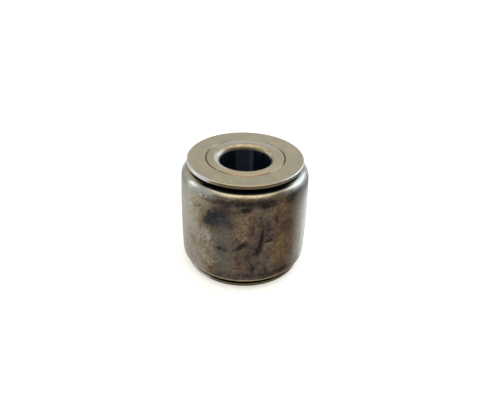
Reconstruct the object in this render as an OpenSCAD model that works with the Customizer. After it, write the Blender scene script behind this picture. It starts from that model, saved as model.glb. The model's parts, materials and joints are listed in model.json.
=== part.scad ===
// Yoke-type cam follower: a crowned roller on a full complement of needle rollers.
// The roller's axis is +Z and the origin is the middle of the bore. All sizes are in millimetres.

/* [Overall] */
// Diameter of the roller at the top of its crown
roller_od = 15.875; // [15.5:0.125:25]
// Width over the two end washers, which is also the length of the inner ring
overall_w = 14.2875; // [10:0.0125:25]
// Bore of the inner ring, for the fixing pin
bore_d = 6.35; // [4:0.05:7.5]

/* [Outer ring] */
// Radius of the crown along the tread
crown_r = 127; // [60:1:400]
// Radius of the corner between the tread and each end
corner_r = 1.3; // [0.4:0.05:2]
// Thickness of the rib at each end of the needle groove
rib_t = 1.5; // [1:0.05:2]
// Radial gap between the ribs and the inner ring
rib_clearance = 0.25; // [0.1:0.05:0.5]
// Chamfer at the bore of each rib
rib_chamfer = 0.25; // [0.1:0.05:0.5]
// Width of the grinding relief at each end of the raceway
relief_w = 0.4; // [0.2:0.05:0.8]
// Depth of the grinding relief
relief_depth = 0.12; // [0.05:0.01:0.2]

/* [Inner ring] */
// Wall between the bore and the inner raceway
inner_wall = 1.635; // [1.2:0.005:2]
// Radius at both mouths of the bore
bore_mouth_r = 0.7; // [0.2:0.05:0.9]

/* [End washers] */
// Thickness of a washer at its thrust land
washer_t = 0.6; // [0.5:0.05:1.2]
// Step from the roller's diameter in to the washer's rim, on each side
washer_setback = 0.79375; // [0.5:0.00625:1.5]
// Radius on the outer edge of the rim
rim_edge_r = 0.12; // [0.05:0.01:0.2]
// How far the inner face steps back outside the thrust land
rim_relief = 0.15; // [0.05:0.01:0.25]
// Radial width of the relieved rim
rim_relief_w = 0.5; // [0.3:0.05:0.8]
// Half width of the V-groove along the seam between a washer and the inner ring
seam_half_w = 0.1; // [0.05:0.01:0.2]

/* [Needle rollers] */
// Diameter of a needle roller
needle_d = 1.5875; // [1.2:0.0125:1.95]
// Radius on the ends of a needle roller
needle_end_r = 0.3; // [0.1:0.05:0.5]
// End play of the needles in the groove
needle_end_play = 0.2; // [0.05:0.05:0.4]
// Least gap between neighbouring needles
needle_gap = 0.005; // [0.005:0.005:0.05]

/* [Running clearances] */
// Radial clearance of a needle on each raceway
race_clearance = 0.015; // [0.01:0.005:0.05]
// Axial play of the outer ring between the washers
axial_play = 0.3875; // [0.15:0.0125:0.6]
// Grease film that the outer ring rests on when the roller stands on end
grease_film = 0.05; // [0.02:0.01:0.07]

/* [Hidden] */
$fn = 96;
arc_steps = 12;

// Radii, from the bore outwards
bore_r = bore_d / 2;
inner_race_r = bore_r + inner_wall;
rib_bore_r = inner_race_r + rib_clearance;
pitch_r = inner_race_r + race_clearance + needle_d / 2;
outer_race_r = pitch_r + needle_d / 2 + race_clearance;
roller_r = roller_od / 2;
washer_r = roller_r - washer_setback;

// Heights, from the middle of the bore
half_w = overall_w / 2;
ring_w = overall_w - 2 * washer_t - axial_play;
ring_drop = axial_play / 2 - grease_film;
groove_w = ring_w - 2 * rib_t;
needle_l = groove_w - needle_end_play;

// As many needles as fit round the inner raceway
needle_count = floor(180 / asin((needle_d + needle_gap) / (2 * pitch_r)));

steel_worn = [0.46, 0.41, 0.36];
steel_satin = [0.67, 0.64, 0.57];
steel_ground = [0.71, 0.68, 0.61];
steel_bright = [0.78, 0.78, 0.79];

function needle_name(i) = str("needle_", i < 9 ? "0" : "", i + 1);

// Points along an arc, from one angle to another
function arc(centre, r, from, to) =
    [for (i = [0 : arc_steps]) let (a = from + (to - from) * i / arc_steps) centre + r * [cos(a), sin(a)]];

// A cut at the upper end of a section, repeated at its lower end
module both_ends() {
    children();
    mirror([0, 1, 0]) children();
}

// What rounding takes off a corner at the origin whose sides run to the left and down
module corner_cut(r) {
    translate([-r, -r])
        difference() {
            square(2 * r);
            circle(r);
        }
}

// What a chamfer takes off a square corner at the origin, whichever way the corner faces
module chamfer_cut(leg) {
    circle(leg, $fn = 4);
}

// Tread and corners in one run of arcs: each corner is tangent to the crown and to the end face
module ring_blank() {
    crown_centre = [roller_r - crown_r, 0];
    corner_z = ring_w / 2 - corner_r;
    tangent_angle = asin(corner_z / (crown_r - corner_r));
    corner_x = crown_centre.x + (crown_r - corner_r) * cos(tangent_angle);
    polygon(concat(
        arc([corner_x, -corner_z], corner_r, -90, -tangent_angle),
        arc(crown_centre, crown_r, -tangent_angle, tangent_angle),
        arc([corner_x, corner_z], corner_r, tangent_angle, 90),
        [[rib_bore_r, ring_w / 2], [rib_bore_r, -ring_w / 2]]
    ));
}

// The needle groove leaves a rib at each end, with a grinding relief in the corner beside it
module outer_ring_section() {
    difference() {
        ring_blank();
        translate([0, -groove_w / 2]) square([outer_race_r, groove_w]);
        both_ends() {
            translate([0, groove_w / 2 - relief_w]) square([outer_race_r + relief_depth, relief_w]);
            translate([rib_bore_r, ring_w / 2]) chamfer_cut(rib_chamfer);
        }
    }
}

module outer_ring() {
    color(steel_worn)
        translate([0, 0, -ring_drop])
            rotate_extrude() outer_ring_section();
}

// The seam is where the washer sits on the inner ring, and its groove takes an edge off both
module seam_groove() {
    translate([inner_race_r, half_w]) chamfer_cut(seam_half_w);
}

module inner_ring_section() {
    difference() {
        translate([bore_r, -half_w]) square([inner_wall, overall_w]);
        both_ends() {
            translate([bore_r, half_w]) mirror([1, 0, 0]) corner_cut(bore_mouth_r);
            seam_groove();
        }
    }
}

module inner_ring() {
    color(steel_ground)
        rotate_extrude() inner_ring_section();
}

// The washer is pressed on flush with the end of the inner ring. Its inner face has a thrust land
// for the outer ring, and the rim steps back from that land.
module washer_section() {
    inner_z = half_w - washer_t;
    land_r = washer_r - rim_relief_w;
    difference() {
        translate([inner_race_r, inner_z]) square([washer_r - inner_race_r, washer_t]);
        translate([washer_r, half_w]) corner_cut(rim_edge_r);
        seam_groove();
        polygon([
            [land_r - rim_relief, inner_z - rim_relief],
            [land_r + rim_relief, inner_z + rim_relief],
            [roller_r, inner_z + rim_relief],
            [roller_r, inner_z - rim_relief],
        ]);
    }
}

module upper_washer() {
    color(steel_satin)
        rotate_extrude() washer_section();
}

module lower_washer() {
    mirror([0, 0, 1]) upper_washer();
}

module needle_section() {
    difference() {
        translate([0, -needle_l / 2]) square([needle_d / 2, needle_l]);
        both_ends()
            translate([needle_d / 2, needle_l / 2]) corner_cut(needle_end_r);
    }
}

// The needles ride in the outer ring's groove, so they stand at its height
module needle(i) {
    color(steel_bright)
        rotate([0, 0, 360 * i / needle_count])
            translate([pitch_r, 0, -ring_drop])
                rotate_extrude() needle_section();
}

inner_ring();
upper_washer();
lower_washer();
outer_ring();
for (i = [0 : needle_count - 1])
    needle(i);
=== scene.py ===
"""The visible pieces of a yoke cam follower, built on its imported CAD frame, in a plain studio."""

import json
import math
from typing import NamedTuple

import bpy
from bpy.props import FloatProperty, FloatVectorProperty, IntProperty, PointerProperty
from mathutils import Matrix, Vector


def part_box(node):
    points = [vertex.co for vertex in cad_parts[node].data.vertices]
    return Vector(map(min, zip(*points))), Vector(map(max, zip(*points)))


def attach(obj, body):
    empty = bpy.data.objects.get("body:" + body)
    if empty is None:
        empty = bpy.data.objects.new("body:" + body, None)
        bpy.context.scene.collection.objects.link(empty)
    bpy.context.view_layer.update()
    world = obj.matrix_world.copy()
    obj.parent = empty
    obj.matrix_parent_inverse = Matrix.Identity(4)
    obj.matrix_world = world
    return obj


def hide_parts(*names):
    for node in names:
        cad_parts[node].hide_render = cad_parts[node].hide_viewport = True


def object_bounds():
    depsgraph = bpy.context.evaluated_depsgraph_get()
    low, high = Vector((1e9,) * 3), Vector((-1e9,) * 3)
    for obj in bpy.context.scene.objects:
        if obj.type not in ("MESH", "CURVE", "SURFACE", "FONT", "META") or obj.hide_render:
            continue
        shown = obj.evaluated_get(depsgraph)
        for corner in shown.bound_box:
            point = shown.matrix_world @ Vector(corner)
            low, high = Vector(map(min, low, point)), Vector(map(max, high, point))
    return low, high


bl_info = {
    "name": "Cam follower",
    "version": (1, 0, 0),
    "blender": (4, 5, 0),
    "location": "View3D > Sidebar > Follower",
    "description": "Builds the visible pieces of a yoke cam follower and a plain studio",
    "category": "Object",
}

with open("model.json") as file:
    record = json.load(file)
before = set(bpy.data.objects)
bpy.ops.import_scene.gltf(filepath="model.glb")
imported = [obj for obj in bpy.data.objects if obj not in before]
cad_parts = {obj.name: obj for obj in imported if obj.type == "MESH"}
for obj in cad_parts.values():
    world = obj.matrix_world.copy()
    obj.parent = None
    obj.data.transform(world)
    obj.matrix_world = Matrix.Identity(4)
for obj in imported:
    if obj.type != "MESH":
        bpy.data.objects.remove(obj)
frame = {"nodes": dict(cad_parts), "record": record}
CAD_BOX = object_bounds()
MM = 0.001

RING_LOW, RING_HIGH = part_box("outer_ring")
ROLLER_RADIUS = min(*RING_HIGH.xy, *(-RING_LOW.xy))
CORE_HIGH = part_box("inner_ring")[1]
WASHER_LOW, WASHER_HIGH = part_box("upper_washer")
NEEDLE_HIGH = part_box("needle_01")[1]
RACE_CLEARANCE = 0.015 * MM
INNER_RACE = CORE_HIGH.x / MM
BORE = next(m for m in frame["record"]["mounts"] if m["name"] == "bore")
NEEDLES = sorted(n for n in frame["nodes"] if n.startswith("needle_"))

# Straight pieces along each arc of a half section
CORNER_STEPS, CROWN_STEPS, MOUTH_STEPS = 24, 16, 20
EDGE_STEPS, WASHER_EDGE_STEPS = 4, 6

# The studio, in metres, with grey tones from 0 to 1
FLOOR_SIDES = 96
FLOOR_GAP = 0.02 * MM
FLOOR_GLOW = 0.8  # how far the camera's view of the floor is topped up
NEAR_GLOW = (0.54, 0.54, 0.54)
FAR_GLOW = (1, 1, 1)
ROOM_GREY = (0.4, 0.4, 0.4)
CARD_RADIUS, CARD_TOP = 0.6, 0.95
CARD_BEARINGS = range(-60, 96, 5)
FLOOR_FADE, CARD_FADE = (120, 600), (-100, 800)  # millimetres, out from the axis and up
CARD_DARK, CARD_PALE = (0.08, 0.08, 0.08), (0.9, 0.86, 0.77)
MATT = {"Roughness": 0.9, "Specular IOR Level": 0.1}
SENSOR = 36  # width in millimetres


def srgb(red, green, blue):
    """A colour as seen on a screen, 0 to 255, in the linear numbers that shaders use."""
    parts = (c / 255 for c in (red, green, blue))
    return tuple(c / 12.92 if c <= 0.04045 else ((c + 0.055) / 1.055) ** 2.4 for c in parts)


def length(name, description, default):
    return FloatProperty(
        name=name, description=description, default=default, min=0, precision=5, unit="LENGTH"
    )


def colour(name, description, red, green, blue):
    return FloatVectorProperty(
        name=name, description=description, default=srgb(red, green, blue),
        size=3, min=0, max=1, subtype="COLOR",
    )


def tilt(name, description, degrees):
    return FloatProperty(name=name, description=description, default=math.radians(degrees), subtype="ANGLE")


class FollowerSizes(bpy.types.PropertyGroup):
    """Sizes of the pieces. Those that the frame can give come from it."""

    roller_radius: length("Roller radius", "Radius of the tread at the top of its crown", ROLLER_RADIUS)
    crown_radius: length("Crown radius", "Radius of the crown along the tread", 127 * MM)
    corner_radius: length("Corner radius", "Radius between the tread and each end", 1.3 * MM)
    outer_race: length("Outer raceway", "Radius of the raceway in the outer ring", NEEDLE_HIGH.x + RACE_CLEARANCE)
    relief_width: length("Relief width", "Width of the grinding relief beside each rib", 0.4 * MM)
    relief_depth: length("Relief depth", "Depth of the grinding relief", 0.12 * MM)
    rib_width: length("Rib width", "Width of the rib at each end of the needle groove", 1.5 * MM)
    rib_clearance: length("Rib clearance", "Radial gap between the ribs and the inner ring", 0.25 * MM)
    rib_chamfer: length("Rib chamfer", "Chamfer at the bore of each rib", 0.25 * MM)
    inner_race: length("Inner raceway", "Radius of the inner ring", CORE_HIGH.x)
    bore_radius: length("Bore radius", "Radius of the bore", BORE["dims"]["r_mm"] * MM)
    mouth_radius: length("Bore mouth radius", "Radius at both mouths of the bore", 0.7 * MM)
    seam: length("Seam", "Half width of the V-groove between a washer and the inner ring", 0.1 * MM)
    rim_radius: length("Washer radius", "Radius of the end washers", WASHER_HIGH.x)
    rim_edge: length("Rim edge", "Radius on the outer edge of a washer's rim", 0.12 * MM)
    rim_relief: length("Rim relief", "How far the rim steps back from the thrust land", 0.15 * MM)
    rim_relief_width: length("Rim relief width", "Radial width of the relieved rim", 0.5 * MM)
    edge: length("Edge break", "Radius on the edges that are only deburred", 0.02 * MM)
    sides: IntProperty(name="Sides", description="Facets round each turned piece", default=240, min=48)


class FollowerColours(bpy.types.PropertyGroup):
    """Colours of the steel and of what has settled on it. Some also paint shade, highlights and reflections."""

    ground_steel: colour("Ground steel", "Clean ground steel of the tread", 150, 150, 138)
    oil_tan: colour("Oil tan", "Thin oil stain", 127, 118, 102)
    oil_brown: colour("Oil brown", "Old oil baked on the tread", 98, 82, 63)
    oil_violet: colour("Oil violet", "Thick violet-grey oil on the tread", 74, 63, 59)
    oil_olive: colour("Oil olive", "Olive oil stain on the lower rim", 88, 83, 66)
    oil_slate: colour("Oil slate", "Slate-grey oil on the tread", 82, 84, 80)
    grime: colour("Grime", "Brown-black grime in the marks on the tread", 36, 30, 26)
    soot: colour("Soot", "Blue-black smudge on the tread", 23, 26, 34)
    # Corner gold also paints a warm reflection on the lower corner of the tread
    corner_gold_and_reflection: colour("Corner gold", "Varnish on the corners of the tread", 196, 172, 118)
    # Grease also paints the shade in the gap under the washers, on the washers' inner faces and at the sides of
    # the tread
    grease: colour("Grease", "Black grease in the gaps and in the bore", 24, 23, 24)
    lapped_steel: colour("Lapped steel", "Faces of the washers and the back of the inner ring", 150, 143, 122)
    core_steel: colour("Core steel", "Ends of the inner ring", 170, 156, 127)
    worn_edge: colour("Worn edge", "Bright corners and edges, rubbed clean", 154, 141, 112)
    ground_blue: colour("Ground blue", "Cool grey steel where the tread is rubbed clean", 152, 160, 162)
    # Rim brown also paints the shade on the front of the upper washer's rim
    rim_brown: colour("Rim brown", "Oil baked on the washers' rims and in the seam", 82, 70, 56)
    # Bright steel: the painted highlights and glints on the tread, washer rims, seam and bore mouths, and the
    # worn washer edges and the back of the inner ring
    bright_steel_and_highlight: colour("Bore lip", "Bright brushed steel of the bore mouths, edges and nicks", 190, 196, 202)
    bore_tan: colour("Bore tan", "Rounded mouths of the bore", 146, 138, 118)
    bore_gold: colour("Bore gold", "Amber stain on the bore mouths and the upper corner", 120, 105, 80)
    bore_dust: colour("Bore dust", "Dry grey streaks down the bore", 92, 98, 104)
    bore_blue: colour("Bore blue", "Blued wall of the bore", 150, 174, 206)
    rust: colour("Rust", "Dark rust in the seams", 88, 56, 45)
    rust_bright: colour("Bright rust", "Fresh rust in the seams", 158, 98, 58)
    needle_steel: colour("Needle steel", "Polished needle rollers", 205, 205, 207)


class FollowerStudio(bpy.types.PropertyGroup):
    """The camera, which stands where the picture was taken, and the floor."""

    distance: length("Camera distance", "From the camera to the middle of the roller", 76.27 * MM)
    elevation: tilt("Elevation", "Angle of the camera above the floor", 31.9)
    roll: tilt("Roll", "Lean of the camera", 1.6)
    lens: FloatProperty(
        name="Lens", description="Focal length on a 36 mm sensor", default=43.02, unit="CAMERA"
    )
    shift: FloatVectorProperty(
        name="Shift", description="Shift of the picture", default=(0.01176, -0.00034), size=2
    )
    floor_radius: length("Floor radius", "Radius of the round floor", 2.0)
    floor_tone: colour("Floor", "Colour of the floor", 238, 237, 234)


class Shade:
    """A value in a node tree. Sums, products and powers of shades add Math nodes to it."""

    def __init__(self, tree, socket):
        self.tree, self.socket = tree, socket

    def _math(self, operation, *terms):
        return self.tree.add("ShaderNodeMath", {"operation": operation}, dict(enumerate(terms)))

    def __add__(self, other):
        return self._math("ADD", self, other)

    def __radd__(self, other):
        return self._math("ADD", other, self)

    def __sub__(self, other):
        return self._math("SUBTRACT", self, other)

    def __rsub__(self, other):
        return self._math("SUBTRACT", other, self)

    def __mul__(self, other):
        return self._math("MULTIPLY", self, other)

    def __rmul__(self, other):
        return self._math("MULTIPLY", other, self)

    def __truediv__(self, other):
        return self._math("DIVIDE", self, other)

    def __pow__(self, other):
        return self._math("POWER", self, other)

    def __neg__(self):
        return self._math("MULTIPLY", self, -1)

    def __abs__(self):
        return self._math("ABSOLUTE", self)

    def at_least(self, other):
        return self._math("MAXIMUM", self, other)

    def at_most(self, other):
        return self._math("MINIMUM", self, other)


class NodeTree:
    """A tree of shader nodes, with the textures and masks that the finishes share."""

    def __init__(self, tree):
        self.tree = tree
        tree.nodes.clear()

    @staticmethod
    def _socket(sockets, key):
        if isinstance(key, int):
            return sockets[key]
        return next((s for s in sockets if s.identifier == key), None) or sockets[key]

    def _put(self, socket, value):
        if isinstance(value, Shade):
            self.tree.links.new(value.socket, socket)
        elif socket.type == "RGBA":
            socket.default_value = (*value[:3], 1)
        else:
            socket.default_value = value

    def add(self, kind, settings=None, inputs=None, output=0):
        """Adds a node: settings first, then the values or links of its sockets. Returns its output, if any."""
        node = self.tree.nodes.new(kind)
        for name, value in (settings or {}).items():
            if name == "stops":
                ramp = node.color_ramp.elements
                while len(ramp) < len(value):
                    ramp.new(1)
                for element, (place, tone) in zip(ramp, value):
                    element.position = place
                    element.color = (*tone[:3], 1)
            else:
                setattr(node, name, value)
        for key, value in (inputs or {}).items():
            self._put(self._socket(node.inputs, key), value)
        return Shade(self, self._socket(node.outputs, output)) if node.outputs else None

    def place(self):
        """Position on the piece in millimetres: the whole vector, x, y and z."""
        metres = self.add("ShaderNodeTexCoord", output="Object")
        mm = self.add("ShaderNodeVectorMath", {"operation": "SCALE"}, {0: metres, "Scale": 1000})
        parts = self.add("ShaderNodeSeparateXYZ", None, {0: mm}).socket.node.outputs
        return mm, *(Shade(self, s) for s in parts)

    def round_place(self):
        """Position round the roller's axis: the whole vector, radius, angle from the front and height."""
        mm, x, y, z = self.place()
        angle = self.add("ShaderNodeMath", {"operation": "ARCTAN2"}, {0: x, 1: -y})
        return mm, self.from_axis(x, y), angle, z

    @staticmethod
    def from_axis(x, y):
        return (x * x + y * y) ** 0.5

    def vector(self, x, y, z):
        return self.add("ShaderNodeCombineXYZ", None, {0: x, 1: y, 2: z})

    def stretch(self, vector, factors):
        return self.add("ShaderNodeVectorMath", {"operation": "MULTIPLY"}, {0: vector, 1: factors})

    def noise(self, vector, scale, detail=4, roughness=0.55, distortion=0):
        """Noise from 0 to 1, with scale in waves to the millimetre."""
        return self.add(
            "ShaderNodeTexNoise",
            {"noise_dimensions": "3D"},
            {
                "Vector": vector,
                "Scale": scale,
                "Detail": detail,
                "Roughness": roughness,
                "Distortion": distortion,
            },
        )

    def ripple(self, *place_and_shape):
        """Noise about 0, mostly within 1 either way."""
        return (self.noise(*place_and_shape) - 0.5) * 4

    def tints(self, vector, scale):
        """Noise in all three colours about mid grey."""
        return self.add("ShaderNodeTexNoise", None, {"Vector": vector, "Scale": scale, "Detail": 4}, "Color")

    def scratches(self, x, y, lean):
        """Thin scratches across a face in millimetres, all leaning at about the same angle in degrees."""
        c, s = math.cos(math.radians(lean)), math.sin(math.radians(lean))
        across = self.noise(self.vector((x * c + y * s) * 0.22, (y * c - x * s) * 6, lean), 1.0, 2, 0.4, 0.15)
        return self.step(across, 0.66, 0.74)

    def step(self, value, low, high):
        """0 below low and 1 above high, with a smooth rise between; low may be the larger."""
        if low > high:
            return 1 - self.step(value, high, low)
        return self.add(
            "ShaderNodeMapRange",
            {"interpolation_type": "SMOOTHSTEP"},
            {"Value": value, "From Min": low, "From Max": high, "To Min": 0, "To Max": 1},
        )

    def band(self, value, low, high, soft):
        """1 between low and high, fading to 0 over soft on both sides."""
        return self.step(value, low - soft, low) * self.step(value, high + soft, high)

    def mix(self, share, first, second, blend="MIX"):
        return self.add(
            "ShaderNodeMix",
            {"data_type": "RGBA", "blend_type": blend},
            {"Factor_Float": share, "A_Color": first, "B_Color": second},
            "Result_Color",
        )

    def bump(self, height, depth, under=None):
        """Normals of a surface that rises by depth, in metres, where height is 1."""
        inputs = {"Height": height, "Distance": depth, "Strength": 1}
        if under:
            inputs["Normal"] = under
        return self.add("ShaderNodeBump", None, inputs)


class Finish(NodeTree):
    """A node material with one Principled shader."""

    def __init__(self, name, constants=None):
        self.material = bpy.data.materials.new(name)
        self.material.use_nodes = True
        super().__init__(self.material.node_tree)
        self.shader = self.add("ShaderNodeBsdfPrincipled", None, constants)
        self.add("ShaderNodeOutputMaterial", None, {"Surface": self.shader})

    def feed(self, sockets):
        """Links the shader's own sockets, by name."""
        for name, value in sockets.items():
            self._put(self.shader.socket.node.inputs[name], value)


def arc(centre, radius, start, stop, steps):
    """Points of an outward arc in a half section, each with its normal, between two angles in degrees."""
    run = []
    for i in range(steps + 1):
        a = math.radians(start + (stop - start) * i / steps)
        c, s = math.cos(a), math.sin(a)
        run.append((centre[0] + radius * c, centre[1] + radius * s, c, s))
    return run


def rounded(items, steps=EDGE_STEPS):
    """A closed half section, metal on the left, from corners (r, z, radius) and ready-made runs of points."""

    def ends(item):
        points = item if isinstance(item, list) else [item]
        return Vector(points[0][:2]), Vector(points[-1][:2])

    outline = []
    for i, item in enumerate(items):
        if isinstance(item, list):
            outline += item
            continue
        corner, radius = Vector(item[:2]), item[2]
        into = (corner - ends(items[i - 1])[1]).normalized()
        out = (ends(items[(i + 1) % len(items)])[0] - corner).normalized()
        turn = math.atan2(into.x * out.y - into.y * out.x, into.dot(out))
        side = 1 if turn > 0 else -1
        start = corner - into * radius * math.tan(abs(turn) / 2)
        centre = start + Vector((-into.y, into.x)) * radius * side
        first = math.atan2(-into.x, into.y)
        for k in range(steps + 1):
            a = first + turn * k / steps
            normal = Vector((math.cos(a), math.sin(a)))
            outline.append((*(centre + normal * radius * side), *normal))
    return outline


def show(name, data):
    """Puts an object with that data in the scene."""
    thing = bpy.data.objects.new(name, data)
    bpy.context.scene.collection.objects.link(thing)
    return thing


def turns(sides):
    """The cosine and sine of each place round a circle."""
    return [(math.cos(2 * math.pi * k / sides), math.sin(2 * math.pi * k / sides)) for k in range(sides)]


def lathe(name, outline, sides):
    """Turns a closed half section about Z into a closed mesh that keeps the section's own normals."""
    count = len(outline)
    points = [(r * c, r * s, z) for c, s in turns(sides) for r, z, _, _ in outline]
    normals = [(nr * c, nr * s, nz) for c, s in turns(sides) for _, _, nr, nz in outline]
    faces = []
    for k in range(sides):
        here, there = k * count, (k + 1) % sides * count
        for i in range(count):
            j = (i + 1) % count
            faces.append((here + i, there + i, there + j, here + j))
    mesh = bpy.data.meshes.new(name)
    mesh.from_pydata(points, [], faces)
    mesh.shade_smooth()
    mesh.normals_split_custom_set_from_vertices(normals)
    if mesh.validate(verbose=False):
        raise RuntimeError(f"{name}: the turned mesh had faults")
    return show(name, mesh)


def stand_for(piece, node, body, finish):
    """Puts a finished piece in the place of its CAD node."""
    piece.data.materials.append(finish.material)
    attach(piece, body)
    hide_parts(node)


def outer_ring_outline(s):
    """Half section of the outer ring: its tread and corners, then its ribs and needle groove."""
    middle = (RING_LOW.z + RING_HIGH.z) / 2
    half = (RING_HIGH.z - RING_LOW.z) / 2
    groove = half - s.rib_width
    rib = s.inner_race + s.rib_clearance
    floor = s.outer_race + s.relief_depth
    crown_x = s.roller_radius - s.crown_radius
    corner_z = half - s.corner_radius
    lean = math.degrees(math.asin(corner_z / (s.crown_radius - s.corner_radius)))
    corner_x = crown_x + (s.crown_radius - s.corner_radius) * math.cos(math.radians(lean))
    tread = [
        *arc((corner_x, middle - corner_z), s.corner_radius, -90, -lean, CORNER_STEPS),
        *arc((crown_x, middle), s.crown_radius, -lean, lean, CROWN_STEPS)[1:],
        *arc((corner_x, middle + corner_z), s.corner_radius, lean, 90, CORNER_STEPS)[1:],
    ]
    upper = [
        (rib + s.rib_chamfer, half, s.edge),
        (rib, half - s.rib_chamfer, s.edge),
        (rib, groove, s.edge),
        (floor, groove, s.edge),
        (floor, groove - s.relief_width, s.edge),
        (s.outer_race, groove - s.relief_width, s.edge),
    ]
    lower = [(r, middle - z, e) for r, z, e in reversed(upper)]
    upper = [(r, middle + z, e) for r, z, e in upper]
    return rounded([tread, *upper, *lower])


def inner_ring_outline(s):
    """Half section of the inner ring, with a rounded mouth at each end of the bore."""
    half = CORE_HIGH.z
    mouth = (s.bore_radius + s.mouth_radius, half - s.mouth_radius)
    upper = [
        (s.inner_race, half - s.seam, s.edge),
        (s.inner_race - s.seam, half, s.edge),
    ]
    lower = [(r, -z, e) for r, z, e in reversed(upper)]
    top = arc(mouth, s.mouth_radius, 90, 180, MOUTH_STEPS)
    bottom = [(r, -z, nr, -nz) for r, z, nr, nz in reversed(top)]
    return rounded([*upper, top, bottom, *lower])


def washer_outline(s, side):
    """Half section of the upper washer, or of the lower one with side -1."""
    inner, outer = WASHER_LOW.z, WASHER_HIGH.z
    land = s.rim_radius - s.rim_relief_width
    corners = [
        (s.inner_race, inner, s.edge),
        (land, inner, s.edge),
        (land + s.rim_relief, inner + s.rim_relief, s.edge),
        (s.rim_radius, inner + s.rim_relief, 2 * s.edge),
        (s.rim_radius, outer, s.rim_edge),
        (s.inner_race + s.seam, outer, s.edge),
        (s.inner_race, outer - s.seam, s.edge),
    ]
    if side < 0:
        corners = [(r, -z, e) for r, z, e in reversed(corners)]
    return rounded(corners, WASHER_EDGE_STEPS)


class Mark(NamedTuple):
    """A mark on the tread: its share of the film, its place, its size, its lean in degrees and its outline.

    The place is along the tread from the front and up from the middle of the bore. Lengths are in millimetres.
    A mark with a negative share thins the film.
    """

    share: float
    along: float
    up: float
    width: float
    height: float
    lean: float = 0
    soft: float = 0.9
    ragged: float = 1


TREAD_MARKS = {
    "long streak": (
        Mark(0.2, 2.25, 1.2, 0.4, 2.9, -2, 1.3),
        Mark(0.22, 2.1, 0.0, 0.5, 2.4, -6, 1.4),
        Mark(0.26, 1.75, -1.35, 0.42, 1.3, -10, 1.3),
        Mark(0.1, 2.15, 0.4, 1.0, 2.6, -6, 1.4),
    ),
    "nick": (
        Mark(0.3, 2.85, -0.12, 0.6, 0.3, 10),
        Mark(0.7, 3.3, 0.03, 0.5, 0.36, 8),
        # A painted highlight along the nick's lower edge, where the oil is thinned
        Mark(-0.12, 3.05, -0.4, 0.5, 0.26, 8, 0.8),
    ),
    "slanted smear and the dull patch beside it": (
        Mark(0.34, -0.35, -0.7, 1.9, 0.6, 38, 1.3),
        Mark(0.2, 0.2, -0.2, 0.9, 0.6, 30, 1.2),
        Mark(-0.14, 0.0, 0.4, 1.9, 0.16, 49, 0.6),
        Mark(0.24, 1.05, -1.3, 1.7, 1.8, 0, 1.3),
    ),
    "dabs under the upper corner": (
        Mark(0.36, 0.25, 4.35, 1.2, 0.6),
        Mark(0.22, 2.3, 4.65, 2.0, 0.45),
        Mark(0.15, 5.7, 4.6, 1.2, 0.8),
        # A painted dark reflection: a long dark band just under the upper corner
        Mark(0.19, 0.9, 5.1, 4.2, 0.5, 0, 1.5),
        Mark(0.18, 3.9, 2.9, 0.6, 1.2, 20),
        Mark(0.12, -0.7, 3.9, 1.6, 1.2, 0, 1.4),
    ),
    "dabs on the left": (
        Mark(0.24, -3.0, -1.2, 0.9, 0.7, 0, 1.4, 1.5),
        Mark(0.22, -2.2, -1.3, 1.1, 0.5, -8, 1.3, 1.4),
        Mark(0.2, -8.2, -4.0, 2.6, 2.4, 40, 1.3),
        Mark(0.16, -8.0, -1.2, 3.4, 5.0, 10, 1.5),
        Mark(-0.24, -4.3, -3.1, 1.6, 2.4, 0, 1.3),
        Mark(-0.2, -4.1, -0.8, 1.4, 1.4, 0, 1.3),
    ),
    "dabs along the bottom": (
        Mark(0.18, 0.4, -2.3, 0.9, 0.8),
        Mark(0.12, 1.5, -3.5, 2.8, 1.8, 0, 1.4),
        Mark(0.2, 1.25, -4.2, 0.5, 1.4),
        Mark(0.42, 5.3, -4.9, 1.1, 0.7, 15),
        Mark(0.15, 4.0, -4.6, 4.4, 1.5, 4, 1.3),
        Mark(0.22, 8.7, -5.2, 2.4, 1.8, 0, 1.4),
    ),
    "stains on the right": (
        Mark(0.2, 5.6, 1.4, 1.8, 2.0, 0, 1.2),
        Mark(0.18, 3.0, 1.8, 1.0, 1.2, 0, 1.2),
    ),
    "marks round the back": (
        Mark(0.3, 11.6, 2.6, 2.2, 1.0, 30, 0.8),
        Mark(0.25, 12.8, -2.0, 0.5, 3.0, 6),
        Mark(0.2, 15.4, -3.6, 2.6, 1.2, -12, 1.2),
        Mark(0.3, 17.6, 1.4, 1.6, 0.5, 48),
        Mark(0.25, 20.6, 3.4, 2.4, 1.3, 0, 1.1),
        Mark(0.25, -11.8, 1.2, 0.5, 1.6, 35),
        Mark(0.25, -14.2, 3.0, 2.8, 1.4, -20, 1.2),
        Mark(0.3, -16.8, -1.4, 1.5, 0.45, 62),
        Mark(0.22, -19.2, -3.8, 2.6, 1.6, 10, 1.2),
        Mark(0.28, -21.4, 1.8, 0.45, 2.6, -8),
    ),
}
SMUDGE = (
    Mark(1.0, -3.65, 2.6, 2.7, 1.8, 24, 1.0, 1.4),
    Mark(0.7, -2.9, 3.1, 2.6, 2.2, 40, 1.0, 1.4),
    Mark(0.22, -4.8, 2.0, 1.5, 0.8, 20, 1.1, 1.4),
    Mark(0.35, -2.3, 4.2, 1.4, 1.3, 30, 1.0, 1.2),
    Mark(0.45, -1.8, 2.3, 2.2, 1.0, 10, 1.3, 1.2),
    Mark(0.3, -3.2, 1.2, 1.2, 0.9, 0, 1.3, 1.2),
)
SLATE_STAINS = (Mark(0.6, -2.6, -1.8, 2.6, 8.0, 0, 1.4),)
AMBER_STAINS = (
    Mark(1.0, 4.2, -2.4, 1.2, 5.4, 0, 1.2),
    Mark(0.8, 5.3, 1.5, 3.2, 6.0, 0, 1.4),
    Mark(0.7, 0.8, 2.7, 1.2, 1.0, 0, 1.2),
)
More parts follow.
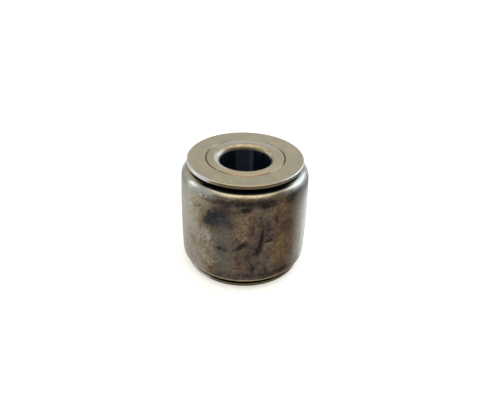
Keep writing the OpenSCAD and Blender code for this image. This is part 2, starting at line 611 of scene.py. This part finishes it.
# Painted glints: two small bright dabs on the upper-left corner of the tread
PAINTED_GLINTS = (
    Mark(0.45, -5.6, 5.22, 0.45, 0.2, -10, 1.2),
    Mark(0.45, -4.8, 5.2, 0.3, 0.18, 0, 1.0),
)

# What the stains, and the painted warm reflection on the lower corner, multiply the oil's colour by
AMBER = (1.08, 1.0, 0.74)
UMBER = (0.84, 0.77, 0.66)
VIOLET = (1.07, 0.94, 1.04)
OLIVE = (0.95, 1.04, 0.9)

# Where the tread's masks start and where they are full, in millimetres: up, along and out from the axis
UPPER_CORNER, LOWER_CORNER = (5.5, 5.92), (-5.68, -5.94)
SEEN_SIDE, LEFT_RUB, RIGHT_RUB, FAR_RIGHT = (18, 11), (-2.0, -7.2), (6.4, 10), (9.8, 12.6)
# Painted shade under the washer: on the top of the upper corner and on the end face
GAP_SHADE_CORNER, GAP_SHADE_FACE = (7.3, 7.14), (6.9, 6.75)


class TreadFinish(Finish):
    """Ground steel under old oil, which lies thick and black in places and is rubbed thin on the corners; with
    painted shade under the washer and at the sides, and painted highlights, glints and reflections.
    """

    def __init__(self, colours):
        super().__init__("worn tread steel", {
            "Anisotropic": 0.7,
            "Anisotropic Rotation": 0.25,
            "Coat Roughness": 0.15,
            "Specular IOR Level": 0.2,
            "Specular Tint": (0.8, 0.82, 0.83),
        })
        self.colours = colours
        self.lay_out()
        film, smudge = self.oil_film()
        # Painted shade in the gap under the washer: grease colour on the top of the upper corner, strongest at
        # the front, and on the end face
        gap_shade = self.step(self.radius + self.blotch * 0.02, *GAP_SHADE_CORNER)
        gap_shade = gap_shade * (0.3 + 0.7 * self.step(self.side, 8, 5.5))
        gap_shade = gap_shade.at_least(self.step(self.radius, *GAP_SHADE_FACE))
        base = self.steel_tones(self.oil_tones(film, smudge))
        grime = self.step(film, 0.65, 0.95).at_least(gap_shade)
        rough = 0.42 + 0.06 * self.blotch + 0.04 * self.fleck + 0.08 * grime
        grind = self.noise(self.stretch(self.mm, (0.35, 0.35, 26)), 1.0, 5, 0.7)
        dents = self.bump(self.noise(self.mm, 0.9, 2) * self.upper, 12e-6)
        self.feed({
            "Base Color": self.mix(gap_shade, base, colours.grease),
            "Roughness": rough - self.upper * (0.18 + 0.1 * self.left) - 0.1 * self.lower,
            "Metallic": 1 - grime * 0.35,
            "Coat Weight": (0.12 + 0.1 * self.rubbed) * (1 - grime),
            "Normal": self.bump(grind - grime * 0.4 + self.speck * 0.15, 4e-6, under=dents),
        })

    def lay_out(self):
        """Places along the tread, noises that the masks share, and masks of the corners, of the rubbed parts,
        which are also painted lighter as sheen on the sides, of a painted highlight's reach and of a painted
        shade on the left edge.
        """
        self.mm, self.radius, angle, self.z = self.round_place()
        self.run = angle * (ROLLER_RADIUS / MM)
        self.side = abs(self.run)
        self.blotch = self.ripple(self.mm, 0.7, 6, 0.6, 0.5)
        self.fleck = self.ripple(self.mm, 2.6, 6, 0.66, 0.3)
        self.speck = self.ripple(self.mm, 8, 3, 0.6)
        self.drift = self.ripple(self.stretch(self.mm, (1, 1, 0.3)), 0.9, 5, 0.6, 0.3)
        slanted = self.vector(self.run * 0.35 + self.z * 0.25, self.z * 1.9 - self.run * 1.1, 0)
        self.wiped = self.ripple(slanted, 1.0, 5, 0.65) * self.step(self.side, 20, 12)
        self.rags = self.fleck * 0.45 + self.blotch * 0.25 + self.wiped * 0.35

        edge = self.z + self.blotch * 0.05
        # Painted highlight: the bright worn upper corner reaches lower in two places, where its highlight is
        # broader
        painted_highlight_reach = self.band(self.run, -4.6, -2.0, 1.2).at_least(0.9 * self.band(self.run, 3.8, 5.2, 0.9))
        self.upper = self.step(edge + 0.26 * painted_highlight_reach, *UPPER_CORNER)
        self.lower = self.step(edge, *LOWER_CORNER)
        reach = 4 * abs(self.ripple(self.mm, 0.25, 3, 0.5))
        front = self.step(self.side + self.blotch - reach, *SEEN_SIDE)
        lean = 0.9 * self.step(self.z, 0.2, 2.0)
        # The rubbed sides are wear, and also painted lighter as sheen where the sides catch the lamps
        self.left = self.step(self.run + self.blotch * 0.8 + lean, *LEFT_RUB) * front
        self.right = self.step(self.run + self.blotch * 0.7, *RIGHT_RUB) * front
        # Painted shade down the left edge of the tread
        self.left_edge_shade = self.band(self.run + self.blotch * 1.3 + self.drift * 0.7, -13, -10.6, 1.6)
        patches = (0.1 + 1.4 * self.ripple(self.mm, 0.22, 4, 0.6)).at_least(0).at_most(0.85)
        self.back = 1 - front
        self.rubbed = self.left.at_least(self.right) + self.back * patches

    def mark(self, mark):
        """1 inside a mark, with a soft outline that wanders."""
        c, s = math.cos(math.radians(mark.lean)), math.sin(math.radians(mark.lean))
        along, up = self.run - mark.along, self.z - mark.up
        u = (along * c + up * s) / (mark.width / 2)
        v = (up * c - along * s) / (mark.height / 2)
        reach = (u * u + v * v) ** 0.5 + self.rags * mark.ragged
        return self.step(reach, 1 + mark.soft / 2, 1 - mark.soft / 2)

    def total(self, marks):
        return sum(mark.share * self.mark(mark) for mark in marks)

    def strongest(self, marks):
        first, *others = (mark.share * self.mark(mark) for mark in marks)
        for other in others:
            first = first.at_least(other)
        return first

    def oil_film(self):
        """How thick the oil lies, from 0 on clean steel to 1 where it is black, and the smudge's share. The film
        also paints a dark reflection under the upper corner and shade on the left edge and the top of the right
        side.
        """
        run, side, z, blotch = self.run, self.side, self.z, self.blotch
        calm = self.band(side + blotch * 0.5, 8.6, 10.5, 2.4).at_least(0.5 * self.band(run, -7, -4, 1))
        film = 0.17 * blotch + 0.17 * self.fleck * (1 - 0.5 * self.back) + 0.1 * self.wiped
        film = film + self.drift * (0.1 + 0.08 * self.back) + 0.12 * self.back
        pits = self.step(self.noise(self.mm, 3.2, 2, 0.4), 0.6, 0.72) * (1 + self.band(run, -7.2, -3.6, 1.0))
        film = film * (1 - 0.5 * calm) + 0.2 * self.speck + 0.2 * pits
        film = 0.6 + film.at_least(-0.2 - 0.3 * self.rubbed) - 0.36 * self.rubbed
        # Painted dark reflection: thicker oil in a band just under the upper corner
        painted_dark_reflection = self.band(z + blotch * 0.25 + self.fleck * 0.08, 4.85, 5.2, 0.4) * self.band(run, -3, 12, 4)
        film = film + 0.26 * painted_dark_reflection * (0.75 + 0.4 * self.drift) * (1 - 0.6 * self.band(run, 4.2, 5.6, 0.8))
        film = film + 0.13 * self.band(z, -5.7, -5.0, 0.5) * self.step(side, 9, 5) * self.step(run, -5, -3)
        film = film + 0.05 * self.band(run, 1.0, 6.0, 1.5) + 0.14 * self.left_edge_shade
        # Painted shade: thicker oil at the top of the right side. The worn upper corner and the lower corner thin
        # the oil; on the lower corner this is part of a painted warm reflection.
        film = film + 0.42 * self.right * self.step(z, 2.8, 4.8) - 0.45 * self.upper - 0.3 * self.lower
        for marks in TREAD_MARKS.values():
            film = film + self.total(marks)
        smudge = self.total(SMUDGE) * (0.84 + 0.14 * self.fleck + 0.16 * self.speck)
        smudge = smudge.at_most(0.92)
        return film + 0.15 * smudge, smudge

    def oil_tones(self, film, smudge):
        """The oil's colour by its thickness, with the smudge and slate, amber, violet and olive stains, and amber
        on the lower corner as a painted warm reflection.
        """
        colours, run, fleck = self.colours, self.run, self.fleck
        base = self.add("ShaderNodeValToRGB", {"stops": [
            (0.05, colours.ground_steel),
            (0.32, colours.oil_tan),
            (0.55, colours.oil_brown),
            (0.76, colours.oil_violet),
            (1.0, colours.grime),
        ]}, {"Fac": film})
        base = self.mix(smudge, base, colours.soot)
        base = self.mix(self.total(SLATE_STAINS) * self.step(film, 0.95, 0.75), base, colours.oil_slate)
        amber = self.step(self.blotch - fleck * 0.3 + self.drift * 0.5, 0.1, 0.9) * 0.4
        # Amber on the lower corner is a painted warm reflection
        amber = amber.at_least(self.strongest(AMBER_STAINS)).at_least(self.lower)
        amber = amber.at_least(self.band(run + fleck * 0.4, 4.4, 6.4, 1.2) * 0.9)
        base = self.mix(amber, base, AMBER, "MULTIPLY")
        base = self.mix(self.band(run + fleck * 0.4, 4.6, 6.2, 1.2), base, UMBER, "MULTIPLY")
        hue = self.ripple(self.mm, 2.4, 5, 0.68)
        base = self.mix(self.step(hue, 0, 1) * 0.8, base, VIOLET, "MULTIPLY")
        return self.mix(self.step(hue, 0, -1) * 0.8, base, OLIVE, "MULTIPLY")

    def steel_tones(self, base):
        """Cool bare steel on the rubbed sides, painted lighter as sheen; bright worn corners; gold by the gap on
        the upper corner and a painted warm reflection on the lower; painted highlights and glints on the right
        shoulder, the right edge and the upper-left corner; and painted shade at the sides.
        """
        colours, run, side, z, blotch = self.colours, self.run, self.side, self.z, self.blotch
        far = self.step(run + blotch * 0.8, *FAR_RIGHT)
        # Cool steel on the rubbed right side and lighter steel on the left: wear, and also painted sheen
        base = self.mix(self.right * (0.55 - far * (0.25 + 0.2 * self.drift)), base, colours.ground_blue)
        base = self.mix(self.band(run + blotch, -10.4, -7.6, 2) * 0.35, base, colours.ground_steel)
        worn = self.upper * self.step(side, 9, 6) * self.step(self.speck - blotch * 0.5, 1.2, -0.6)
        base = self.mix(worn * 0.8, base, colours.worn_edge)
        base = self.mix(0.2, base, self.tints(self.mm, 1.7), "SOFT_LIGHT")
        lip = self.band(self.radius, 6.9, 7.2, 0.15) * self.step(z, 0, 1)
        base = self.mix(0.8 * lip * self.band(run, -3.5, 4, 2), base, colours.bore_gold)
        # Gold by the gap on the upper-left corner, and a painted warm reflection on the lower corner
        gold_tint_and_reflection = 0.4 * (lip * self.band(run, -10.5, -7, 1))
        gold_tint_and_reflection = gold_tint_and_reflection.at_least(0.75 * self.lower * self.step(side, 16, 9))
        base = self.mix(gold_tint_and_reflection, base, colours.corner_gold_and_reflection)
        shoulder = z + 0.14 * blotch + 0.06 * self.fleck
        cool = self.step(shoulder, 5.05, 5.4) * self.band(run, -7, -4.2, 1.5)
        base = self.mix(cool * 0.4, base, colours.ground_blue)
        # Painted highlights: bright steel on the right shoulder and down the right edge of the tread, and the
        # painted glints
        bright = 0.35 * self.step(shoulder, 5.25, 5.65) * self.band(run, 5.5, 11, 2)
        polished = self.step(run + 0.45 * blotch + 0.2 * self.fleck, 8.2, 9.7) * self.right
        polished = polished * self.step(z, 5.2, 3.6) * (1 - 0.85 * far)
        bright = bright.at_least(polished * (0.5 + 0.1 * self.drift))
        base = self.mix(bright.at_least(self.strongest(PAINTED_GLINTS)), base, colours.bright_steel_and_highlight)
        # Painted shade at the top of both sides and down the left edge, in grease colour
        shade = 0.5 * self.band(run, 6, 11, 1.5) * self.step(z, 1.5, 5.2)
        shade = shade + 0.26 * self.band(run, -11.5, -8.8, 1.5) * self.step(z, 2.4, 5)
        return self.mix(shade * (1 - self.upper) + 0.22 * self.left_edge_shade, base, colours.grease)


# Where the masks of the washers and the inner ring start and where they are full, in millimetres
END_FACES, SHADED_INNER_FACES = (6.95, 7.0), (6.72, 6.66)
RIM, RIM_HEIGHT = (7.0, 7.05), (7.09, 7.02)
RIM_EDGE, RIM_EDGE_HEIGHT = (6.98, 7.04), (7.03, 7.07)
BORE_MOUTH, BORE_WALL, BORE_HEIGHT = (3.9, 3.75), (3.3, 3.22), (6.62, 6.48)


def rusty_seam(f, colours, mm, x, y, z, radius):
    """Round each end of the inner ring: the groove, the rust's share of it and the rust's colour, which takes in
    a painted glint on the inner side at the front right.
    """
    off = abs(radius - INNER_RACE)
    ends = f.step(abs(z), *END_FACES)
    front, side = f.step(y, 0.5, -2.5), f.step(abs(x) - y * 0.4, 2.2, 4.2)
    patch = f.step(f.noise(mm, 0.9, 5, 0.65), 0.25, 0.5) * (0.15 + 0.85 * front.at_least(side))
    rust = ends * patch * f.step(off - (0.05 * side).at_least(0.025 * front), 0.075, 0.035)
    fresh = f.step(f.noise(mm, 0.45, 3) + 0.3 * front - 0.3 * side, 0.4, 0.7)
    tone = f.mix(fresh, colours.rust, colours.rust_bright)
    back = f.step(y - abs(x) * 0.5, 0.5, 2.5)
    rust = rust.at_least(ends * back * f.step(off, 0.1, 0.06) * 0.8)
    tone = f.mix(back, tone, colours.rim_brown)
    # A painted glint of bright steel on the inner side of the groove, at the front right
    bright = f.band(x + y * 0.9, -0.2, 2.2, 0.7) * f.step(x, 1, 2)
    bright = bright * f.step(radius, INNER_RACE, INNER_RACE - 0.03)
    tone = f.mix(bright * 0.55, tone, colours.bright_steel_and_highlight)
    return ends * f.step(off, 0.115, 0.095), rust, tone


def lapped_finish(colours):
    """Satin washer faces with lapping marks and stains, oily rims painted darker at the front as shade and
    lighter at the left as a highlight, worn edges painted brighter at the sides, inner faces painted dark as
    shade between the parts, and a rusty seam with a painted glint.
    """
    f = Finish("lapped washer steel", {"Anisotropic": 0.3})
    mm, x, y, z = f.place()
    radius = f.from_axis(x, y)
    cloud = f.ripple(mm, 0.6, 5, 0.6, 0.4)
    grain = f.ripple(mm, 7, 4, 0.7)
    turned = f.noise(f.vector(x * 0.3, y * 0.3, radius * 14 + z * 14), 1.0, 4, 0.65)
    base = f.mix(f.step(cloud, -0.3, 0.7) * 0.5, colours.lapped_steel, colours.core_steel)
    base = f.mix(f.step(f.ripple(mm, 1.3, 6, 0.65), 0.35, 0.9) * 0.5, base, colours.oil_tan)
    base = f.mix(0.12, base, f.tints(mm, 1.6), "SOFT_LIGHT")
    base = f.mix(0.35, base, f.tints(mm, 9), "SOFT_LIGHT")
    scratches = f.scratches(x, y, 25).at_least(f.scratches(x, y, 118)).at_least(f.scratches(x, y, 72))
    base = f.mix(scratches * 0.3, base, colours.oil_brown)
    base = f.mix(f.step(grain + cloud * 0.4, 0.1, 1.2) * 0.35, base, colours.oil_tan)
    rim = f.step(radius, *RIM) * f.step(abs(z) + cloud * 0.01, *RIM_HEIGHT)
    # Painted light on the rims: dark oil colour as shade at the front of the upper rim, lighter steel on the left
    # side and a painted highlight at the left front
    oil = f.mix(f.step(z, 1, -1), colours.rim_brown, colours.oil_olive)
    oil = f.mix(f.step(x + cloud * 0.5, -2.6, -5.2), oil, colours.lapped_steel)
    oil = f.mix(f.band(x + cloud * 0.3, -6, -4.6, 0.9) * f.step(y, 0, -2) * 0.6, oil, colours.bright_steel_and_highlight)
    base = f.mix(rim * 0.95, base, oil)
    # Worn rim edges, painted brighter at the sides as a highlight
    edge = f.step(radius + grain * 0.01, *RIM_EDGE) * f.step(abs(z), *RIM_EDGE_HEIGHT)
    worn = f.mix(f.step(abs(x) + cloud * 0.6, 2.5, 5), colours.worn_edge, colours.bright_steel_and_highlight)
    base = f.mix(edge * 0.7, base, worn)
    groove, rust, tone = rusty_seam(f, colours, mm, x, y, z, radius)
    base = f.mix(rust, base, tone)
    # Painted shade: the inner faces, between the washers and the ring, in grease colour
    gap_shade = f.step(abs(z), *SHADED_INNER_FACES)
    base = f.mix(gap_shade, base, colours.grease)
    rough = 0.38 + 0.05 * cloud + 0.05 * grain + 0.2 * rust - 0.16 * edge - 0.08 * groove
    normal = f.bump(turned * 0.7 + grain * 0.25 - scratches, 3e-6)
    f.feed({"Base Color": base, "Roughness": rough, "Metallic": 1 - 0.5 * rust, "Normal": normal})
    return f


def core_finish(colours):
    """Ground inner ring: satin ends, brushed bore mouths with a painted highlight on the left and a painted glint
    on the right, a blued bore and rust along the seams.
    """
    f = Finish("ground core steel", {"Anisotropic": 0.3})
    mm, x, y, z = f.place()
    radius = f.from_axis(x, y)
    cloud = f.ripple(mm, 0.7, 5, 0.6, 0.4)
    grain = f.ripple(mm, 7, 4, 0.7)
    mouth = f.step(radius, *BORE_MOUTH)
    front = f.step(y + cloud, 1, -4.5)
    base = f.mix(1 - 0.9 * front, colours.core_steel, colours.lapped_steel)
    base = f.mix(f.step(y + cloud * 0.8, 0.5, 4.5) * 0.24, base, colours.bright_steel_and_highlight)
    base = f.mix(f.step(x + cloud * 0.8, -2.5, -4.5) * f.step(radius, 3.8, 4) * 0.35, base, colours.oil_tan)
    base = f.mix(0.12, base, f.tints(mm, 1.6), "SOFT_LIGHT")
    base = f.mix(0.35, base, f.tints(mm, 9), "SOFT_LIGHT")
    streaks = f.noise(f.stretch(mm, (2.6, 2.6, 0.1)), 1.0, 4, 0.7)
    # Painted highlights: bright steel on the left of the bore mouth and a painted glint on the right
    glint = 0.7 * f.band(x, 2.85, 3.1, 0.2) * f.band(y, 1.0, 1.4, 0.3)
    bright = f.step(x + cloud * 0.4, -1.5, -2.5).at_least(glint)
    lip = f.mix(bright, colours.bore_tan, colours.bright_steel_and_highlight)
    lip = f.mix(f.step(y + abs(x) * 0.3 + cloud * 0.6, 1.8, 3.2), lip, colours.bore_gold)
    brushed = f.noise(f.vector(x * 0.35, y * 0.35, radius * 11 - z * 6), 1.0, 3, 0.6)
    lip = f.mix(f.step(brushed, 0.52, 0.7) * 0.5, lip, colours.oil_tan)
    lip = f.mix(f.step(f.noise(mm, 3.5, 3, 0.6), 0.55, 0.7) * 0.55, lip, colours.oil_brown)
    worn = f.step(f.noise(f.stretch(mm, (1, 1, 2)), 1.5, 4, 0.6), 0.48, 0.62) * f.step(y, 0.5, 2)
    lip = f.mix(worn * 0.5, lip, colours.core_steel)
    lip = f.mix(0.5, lip, f.tints(mm, 2.5), "SOFT_LIGHT")
    base = f.mix(mouth * 0.9, base, f.mix(streaks * 0.6, lip, colours.core_steel))
    bore = f.step(abs(z), *BORE_HEIGHT) * f.step(radius, *BORE_WALL)
    base = f.mix(bore, base, f.mix(0.4 + 0.6 * streaks, colours.bore_blue, colours.grease))
    dust = 0.3 * f.band(x, -1.1, 0.3, 0.3) + 0.75 * f.band(x, 0.6, 0.9, 0.2)
    dust = dust * bore * (0.4 + 1.2 * streaks) * f.step(y, 1, 2)
    base = f.mix(dust, base, colours.bore_dust)
    groove, rust, tone = rusty_seam(f, colours, mm, x, y, z, radius)
    base = f.mix(rust, base, tone)
    hone = f.noise(f.vector(x * 0.5, y * 0.5, radius * 10 + z * 16), 1.0, 4, 0.65)
    rough = 0.38 + 0.05 * cloud + 0.05 * grain + 0.2 * rust - 0.08 * groove + 0.2 * dust
    normal = f.bump(hone * 0.7 + grain * 0.2 + mouth * streaks, 2.5e-6)
    metal = 1 - 0.5 * rust - 0.7 * dust - 0.25 * mouth * (1 - bore)
    f.feed({"Base Color": base, "Roughness": rough, "Metallic": metal, "Normal": normal})
    return f


def needle_finish(colours):
    """Polished needles under a film of grease."""
    f = Finish("polished needle steel", {"Coat Roughness": 0.3})
    mm, *_ = f.place()
    film = f.noise(mm, 1.2, 4, 0.6)
    hone = f.noise(f.stretch(mm, (2, 2, 18)), 1.0, 4, 0.6)
    base = f.mix(f.step(film, 0.45, 0.75) * 0.4, colours.needle_steel, colours.oil_tan)
    f.feed({
        "Base Color": base,
        "Roughness": 0.16 + film * 0.12,
        "Metallic": 1,
        "Coat Weight": 0.3 * film,
        "Normal": f.bump(hone, 1e-6),
    })
    return f


class FOLLOWER_OT_outer_ring(bpy.types.Operator):
    """Turn the outer ring with its crowned tread, needle groove and ribs"""

    bl_idname = "follower.outer_ring"
    bl_label = "Outer ring"

    def execute(self, context):
        sizes, colours = context.scene.follower_sizes, context.scene.follower_colours
        piece = lathe("roller_ring", outer_ring_outline(sizes), sizes.sides)
        stand_for(piece, "outer_ring", "roller", TreadFinish(colours))
        return {"FINISHED"}


class FOLLOWER_OT_washers(bpy.types.Operator):
    """Turn the two end washers with their thrust lands"""

    bl_idname = "follower.washers"
    bl_label = "End washers"

    def execute(self, context):
        sizes, colours = context.scene.follower_sizes, context.scene.follower_colours
        finish = lapped_finish(colours)
        for node, side in (("upper_washer", 1), ("lower_washer", -1)):
            piece = lathe(f"end_{node}", washer_outline(sizes, side), sizes.sides)
            stand_for(piece, node, "core", finish)
        return {"FINISHED"}


class FOLLOWER_OT_inner_ring(bpy.types.Operator):
    """Turn the inner ring with its bore"""

    bl_idname = "follower.inner_ring"
    bl_label = "Inner ring"

    def execute(self, context):
        sizes, colours = context.scene.follower_sizes, context.scene.follower_colours
        piece = lathe("bored_ring", inner_ring_outline(sizes), sizes.sides)
        stand_for(piece, "inner_ring", "core", core_finish(colours))
        return {"FINISHED"}


class FOLLOWER_OT_needles(bpy.types.Operator):
    """Finish the needle rollers, which keep their CAD shapes"""

    bl_idname = "follower.needles"
    bl_label = "Needle rollers"

    def execute(self, context):
        if not NEEDLES:
            raise RuntimeError("the frame has no needle rollers")
        finish = needle_finish(context.scene.follower_colours)
        for name in NEEDLES:
            node = frame["nodes"][name]
            node.data.materials.clear()
            node.data.materials.append(finish.material)
        return {"FINISHED"}


def background_ray(tree):
    """1 for what the camera sees, directly, in a reflection or through glass."""
    rays = tree.add("ShaderNodeLightPath").socket.node.outputs
    kinds = ("Is Camera Ray", "Is Glossy Ray", "Is Transmission Ray")
    camera, glossy, through = (Shade(tree, rays[kind]) for kind in kinds)
    return camera.at_least(glossy).at_least(through)


def studio_floor(studio):
    """A round pale floor, topped up to white where the camera sees it in open light."""
    mesh = bpy.data.meshes.new("studio_floor")
    level = CAD_BOX[0].z - FLOOR_GAP
    points = [(studio.floor_radius * c, studio.floor_radius * s, level) for c, s in turns(FLOOR_SIDES)]
    mesh.from_pydata(points, [], [tuple(range(FLOOR_SIDES))])
    f = Finish("pale floor", {**MATT, "Emission Strength": FLOOR_GLOW})
    mm, x, y, _ = f.place()
    paper = f.noise(mm, 0.8, 3)
    white = f.mix(f.step(f.from_axis(x, y), *FLOOR_FADE), NEAR_GLOW, FAR_GLOW)
    tone = tuple(studio.floor_tone)
    f.feed({
        "Base Color": f.mix(paper, tone, tuple(0.98 * c for c in tone)),
        "Emission Color": f.mix(background_ray(f), (0, 0, 0), white),
    })
    mesh.materials.append(f.material)
    show("studio_floor", mesh)


def studio_world():
    """White where the camera sees it, and a softer grey as a light."""
    world = bpy.data.worlds.new("studio")
    bpy.context.scene.world = world
    world.use_nodes = True
    f = NodeTree(world.node_tree)
    tone = f.mix(background_ray(f), ROOM_GREY, (1, 1, 1))
    light = f.add("ShaderNodeBackground", None, {"Color": tone})
    f.add("ShaderNodeOutputWorld", None, {"Surface": light})


class Softbox(NamedTuple):
    """A rectangular lamp, in metres and degrees. Its bearing is from the camera's side of the roller."""

    name: str
    bearing: float
    elevation: float
    distance: float
    width: float
    height: float
    level: float
    tint: tuple


SOFTBOXES = (
    Softbox("overhead_softbox", bearing=0, elevation=84, distance=0.42, width=0.56, height=0.5,
            level=1.8, tint=(1, 0.97, 0.92)),
    Softbox("left_softbox", bearing=-106, elevation=16, distance=0.4, width=0.12, height=0.24,
            level=2.2, tint=(0.9, 0.97, 1)),
    Softbox("right_softbox", bearing=124, elevation=30, distance=0.4, width=0.28, height=0.28,
            level=2.0, tint=(0.86, 0.96, 1)),
)


def hang(box):
    """Puts up a softbox, aimed at the roller. Its power grows with its area, so level is its brightness."""
    a, e = math.radians(box.bearing), math.radians(box.elevation)
    place = box.distance * Vector((math.sin(a) * math.cos(e), -math.cos(a) * math.cos(e), math.sin(e)))
    light = bpy.data.lights.new(box.name, "AREA")
    light.shape = "RECTANGLE"
    light.size, light.size_y = box.width, box.height
    light.energy = box.level * math.pi * box.width * box.height
    light.color = box.tint
    lamp = show(box.name, light)
    lamp.location = place
    lamp.rotation_euler = (-place).to_track_quat("-Z", "Y").to_euler()
    lamp.visible_camera = False


def camera_side_flag():
    """A curved card behind the camera, dark below and paler above, as the unlit side of the room."""
    mesh = bpy.data.meshes.new("camera_side_flag")
    points = []
    for a in map(math.radians, CARD_BEARINGS):
        x, y = CARD_RADIUS * math.sin(a), -CARD_RADIUS * math.cos(a)
        points += [(x, y, CAD_BOX[0].z), (x, y, CARD_TOP)]
    mesh.from_pydata(points, [], [(i, i + 2, i + 3, i + 1) for i in range(0, len(points) - 2, 2)])
    f = Finish("shaded card", MATT)
    mm, _, _, z = f.place()
    fade = f.step(z + f.ripple(mm, 0.01) * 20, *CARD_FADE)
    f.feed({"Base Color": f.mix(fade, CARD_DARK, CARD_PALE)})
    mesh.materials.append(f.material)
    flag = show("camera_side_flag", mesh)
    flag.visible_camera = False


def photo_camera(studio):
    """The camera of the picture: above the front of the roller and a little rolled."""
    e = studio.elevation
    eye = studio.distance * Vector((0, -math.cos(e), math.sin(e)))
    back = eye.normalized()
    across = Vector((1, 0, 0))
    up = back.cross(across)
    c, s = math.cos(studio.roll), math.sin(studio.roll)
    across, up = c * across + s * up, c * up - s * across
    data = bpy.data.cameras.new("camera")
    data.sensor_width = SENSOR
    data.lens = studio.lens
    data.shift_x, data.shift_y = studio.shift
    data.clip_start = MM
    camera = show("camera", data)
    camera.matrix_world = Matrix.Translation(eye) @ Matrix((across, up, back)).transposed().to_4x4()
    bpy.context.scene.camera = camera


class FOLLOWER_OT_studio(bpy.types.Operator):
    """Set up the floor, the light and the camera"""

    bl_idname = "follower.studio"
    bl_label = "Studio"

    def execute(self, context):
        studio = context.scene.follower_studio
        studio_floor(studio)
        studio_world()
        for box in SOFTBOXES:
            hang(box)
        camera_side_flag()
        photo_camera(studio)
        context.scene.view_settings.view_transform = "Standard"
        return {"FINISHED"}


class FOLLOWER_PT_panel(bpy.types.Panel):
    """Sizes, colours and steps of the cam follower"""

    bl_idname = "FOLLOWER_PT_panel"
    bl_label = "Cam follower"
    bl_space_type = "VIEW_3D"
    bl_region_type = "UI"
    bl_category = "Follower"

    def draw(self, context):
        scene = context.scene
        for group in (scene.follower_sizes, scene.follower_colours, scene.follower_studio):
            box = self.layout.box()
            for name in group.__annotations__:
                box.prop(group, name)
        for operator in OPERATORS:
            self.layout.operator(operator.bl_idname)


GROUPS = (FollowerSizes, FollowerColours, FollowerStudio)
OPERATORS = (
    FOLLOWER_OT_outer_ring,
    FOLLOWER_OT_washers,
    FOLLOWER_OT_inner_ring,
    FOLLOWER_OT_needles,
    FOLLOWER_OT_studio,
)


def register():
    for cls in (*GROUPS, *OPERATORS, FOLLOWER_PT_panel):
        bpy.utils.register_class(cls)
    bpy.types.Scene.follower_sizes = PointerProperty(type=FollowerSizes)
    bpy.types.Scene.follower_colours = PointerProperty(type=FollowerColours)
    bpy.types.Scene.follower_studio = PointerProperty(type=FollowerStudio)


def unregister():
    del bpy.types.Scene.follower_studio
    del bpy.types.Scene.follower_colours
    del bpy.types.Scene.follower_sizes
    for cls in reversed((*GROUPS, *OPERATORS, FOLLOWER_PT_panel)):
        bpy.utils.unregister_class(cls)


def main():
    register()
    bpy.ops.follower.outer_ring()
    bpy.ops.follower.washers()
    bpy.ops.follower.inner_ring()
    bpy.ops.follower.needles()
    bpy.ops.follower.studio()


if __name__ == "__main__":
    main()
